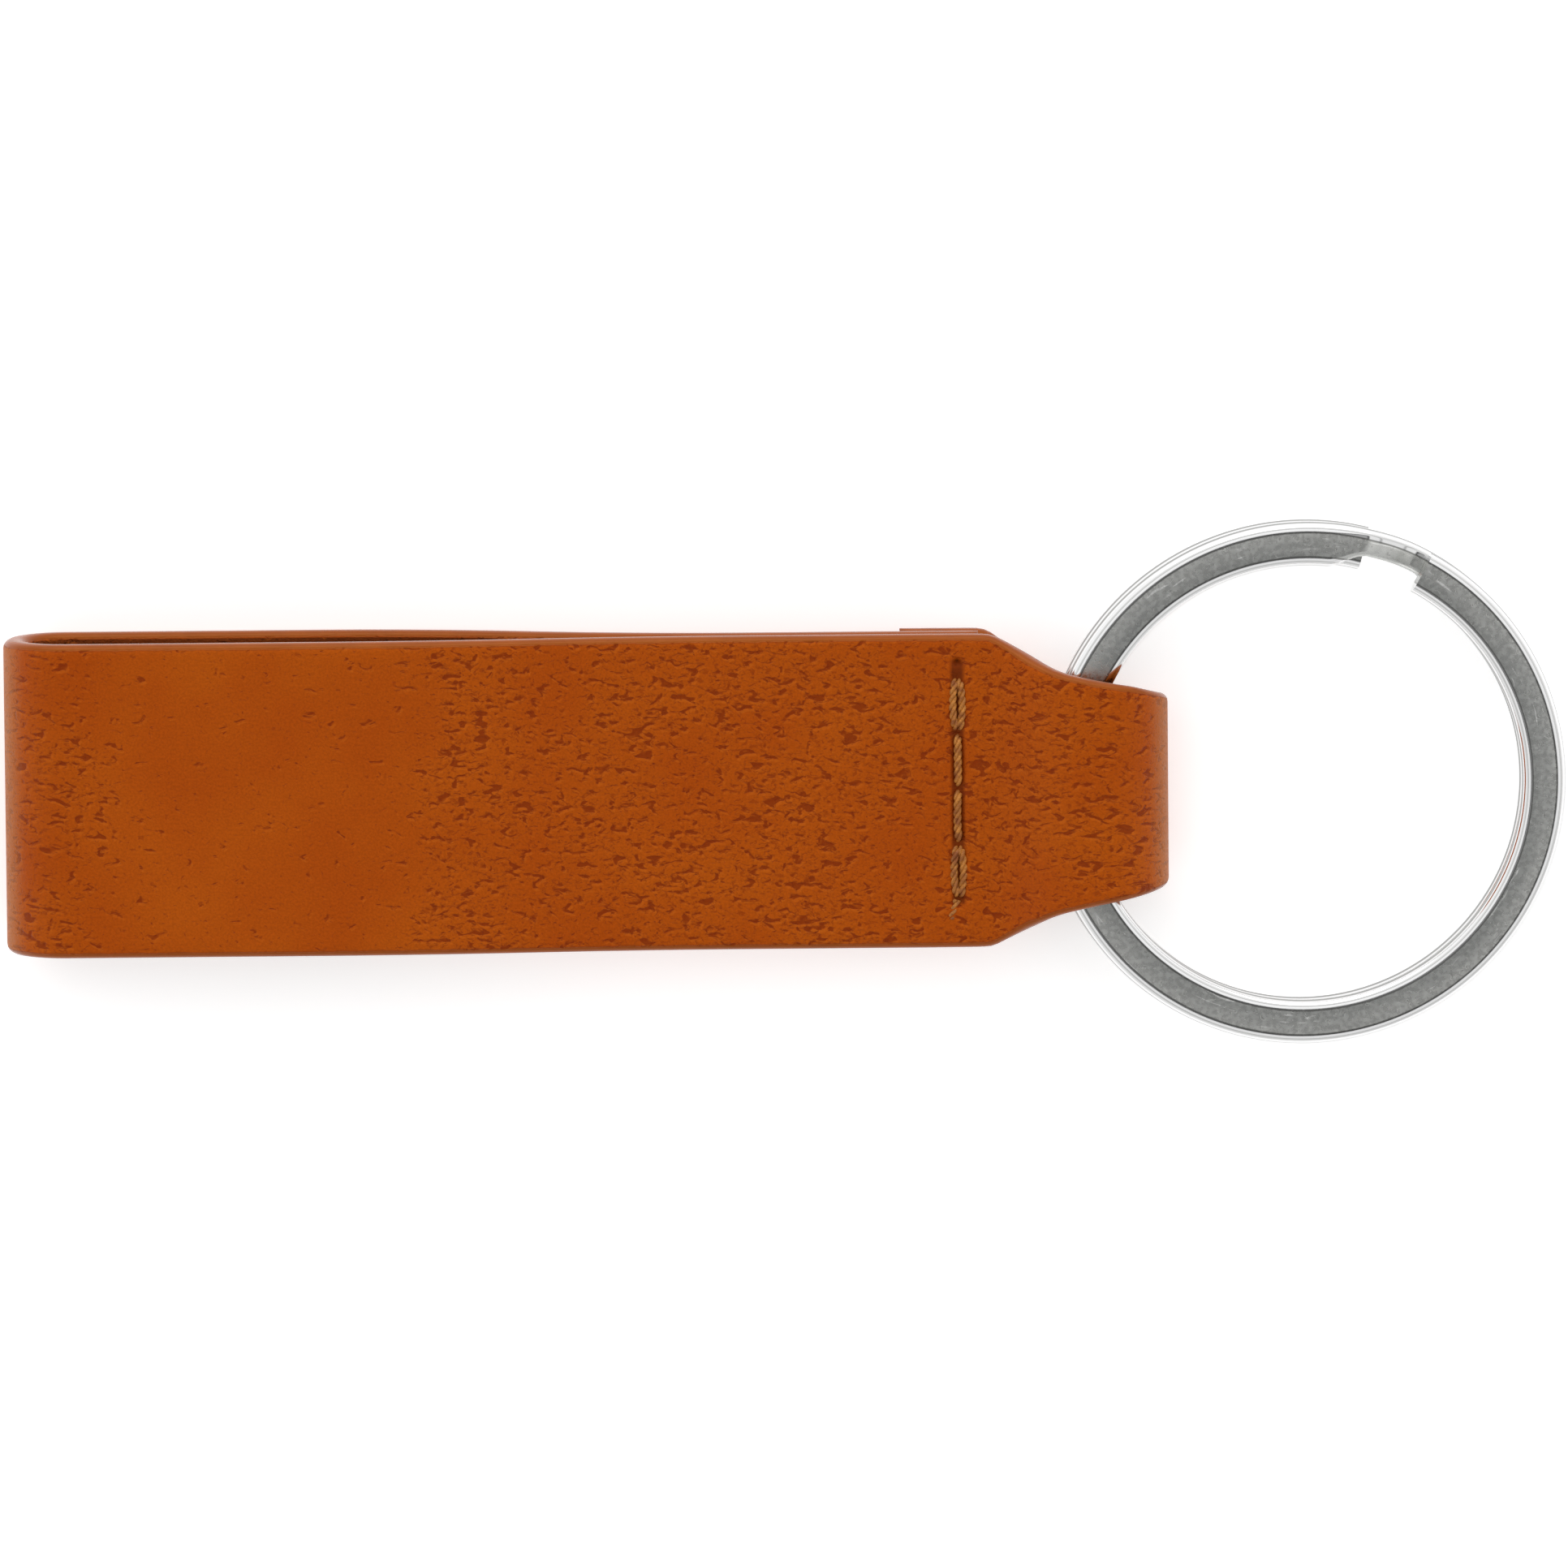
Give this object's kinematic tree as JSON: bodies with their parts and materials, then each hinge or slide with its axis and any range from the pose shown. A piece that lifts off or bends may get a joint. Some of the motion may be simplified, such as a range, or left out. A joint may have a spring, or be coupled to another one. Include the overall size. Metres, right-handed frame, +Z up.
{
  "type": "keychain",
  "caption": "Folded leather strap keychain: a tapered tab folded and sewn round a flat-wire split ring that swings in the fold.",
  "frame": {"origin": "on the table, under the middle of the whole object as it lies", "axes": "+X along the strap towards the ring, +Y across the strap, +Z up out of the strap's front"},
  "size_m": [0.089, 0.03, 0.0075],
  "materials": {
    "leather": "tan leather with a fine mottled grain and smooth painted edges",
    "thread": "twisted golden brown sewing thread",
    "plated_steel": "nickel plate, satin on the flats and bright on the rounded edges"
  },
  "bodies": {
    "strap": {"strap": "leather", "needle_thread": "thread", "bobbin_thread": "thread"},
    "ring": {"split_ring": "plated_steel"}
  },
  "joints": [
    {"name": "ring_swing", "type": "hinge", "parent": "strap", "child": "ring", "pos_m": [0.01675, 0, 0.00375], "axis": [0, -1, 0], "range_deg": [-95, 105]}
  ]
}
